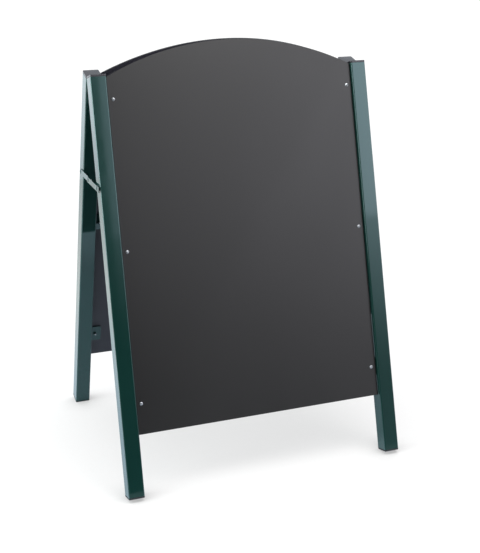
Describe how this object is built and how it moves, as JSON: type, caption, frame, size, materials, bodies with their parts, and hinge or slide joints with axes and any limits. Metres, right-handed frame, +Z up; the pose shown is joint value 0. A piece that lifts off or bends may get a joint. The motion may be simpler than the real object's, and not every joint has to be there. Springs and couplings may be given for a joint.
{
  "type": "folding chalkboard easel",
  "caption": "Folding A-frame pavement chalkboard: arched black writing boards on green square-tube legs, hinged at the top, with a folding stay on one side.",
  "frame": {"origin": "on the floor, at the middle of the object's footprint, with the easel standing open", "axes": "+Z up, the front board faces -Y, +X to the right of someone facing the front board"},
  "size_m": [0.7425, 0.6156, 1.0692],
  "materials": {
    "frame_lacquer": "glossy dark green lacquer on steel",
    "chalkboard": "satin black writing surface with a fine tooth",
    "cap_plastic": "glossy black moulded plastic",
    "foot_plastic": "matte black moulded plastic",
    "bright_zinc": "bright zinc plate"
  },
  "bodies": {
    "front_frame": {"front_leg_left": "frame_lacquer", "front_leg_right": "frame_lacquer", "front_cap_left": "cap_plastic", "front_cap_right": "cap_plastic", "front_foot_left": "foot_plastic", "front_foot_right": "foot_plastic", "front_board": "chalkboard", "front_tab_left_top": "frame_lacquer", "front_tab_left_middle": "frame_lacquer", "front_tab_left_bottom": "frame_lacquer", "front_tab_right_top": "frame_lacquer", "front_tab_right_middle": "frame_lacquer", "front_tab_right_bottom": "frame_lacquer", "front_board_screws": "bright_zinc", "front_weld_nuts": "frame_lacquer", "hinge_front_leaf_left": "frame_lacquer", "hinge_front_leaf_right": "frame_lacquer", "hinge_pin_left": "bright_zinc", "hinge_pin_right": "bright_zinc", "hinge_front_screws": "bright_zinc", "stay_front_pivot": "frame_lacquer", "stay_front_spacer": "frame_lacquer"},
    "rear_frame": {"rear_leg_left": "frame_lacquer", "rear_leg_right": "frame_lacquer", "rear_cap_left": "cap_plastic", "rear_cap_right": "cap_plastic", "rear_foot_left": "foot_plastic", "rear_foot_right": "foot_plastic", "rear_board": "chalkboard", "rear_tab_left_top": "frame_lacquer", "rear_tab_left_middle": "frame_lacquer", "rear_tab_left_bottom": "frame_lacquer", "rear_tab_right_top": "frame_lacquer", "rear_tab_right_middle": "frame_lacquer", "rear_tab_right_bottom": "frame_lacquer", "rear_board_screws": "bright_zinc", "rear_weld_nuts": "frame_lacquer", "hinge_rear_leaf_left": "frame_lacquer", "hinge_rear_leaf_right": "frame_lacquer", "hinge_rear_screws": "bright_zinc", "stay_rear_pivot": "frame_lacquer", "stay_rear_washer": "frame_lacquer"},
    "stay_front": {"stay_front_link": "frame_lacquer", "stay_knuckle_head": "frame_lacquer"},
    "stay_rear": {"stay_rear_link": "frame_lacquer", "stay_knuckle_tail": "frame_lacquer"}
  },
  "joints": [
    {"name": "fold", "type": "hinge", "parent": "front_frame", "child": "rear_frame", "pos_m": [0.00325, 0, 0.97548], "axis": [-1, 0, 0], "range_deg": [0, 30.3]},
    {"name": "stay_front_turn", "type": "hinge", "parent": "front_frame", "child": "stay_front", "pos_m": [-0.36765, -0.09065, 0.73442], "axis": [1, 0, 0], "range_deg": [0, 59.4]},
    {"name": "stay_rear_turn", "type": "hinge", "parent": "rear_frame", "child": "stay_rear", "pos_m": [-0.36535, 0.09065, 0.73442], "axis": [-1, 0, 0], "range_deg": [0, 59.4]}
  ],
  "couplings": [
    {"joint": "stay_front_turn", "follows": "fold", "ratio": 1.9528},
    {"joint": "stay_rear_turn", "follows": "fold", "ratio": 1.9528}
  ]
}
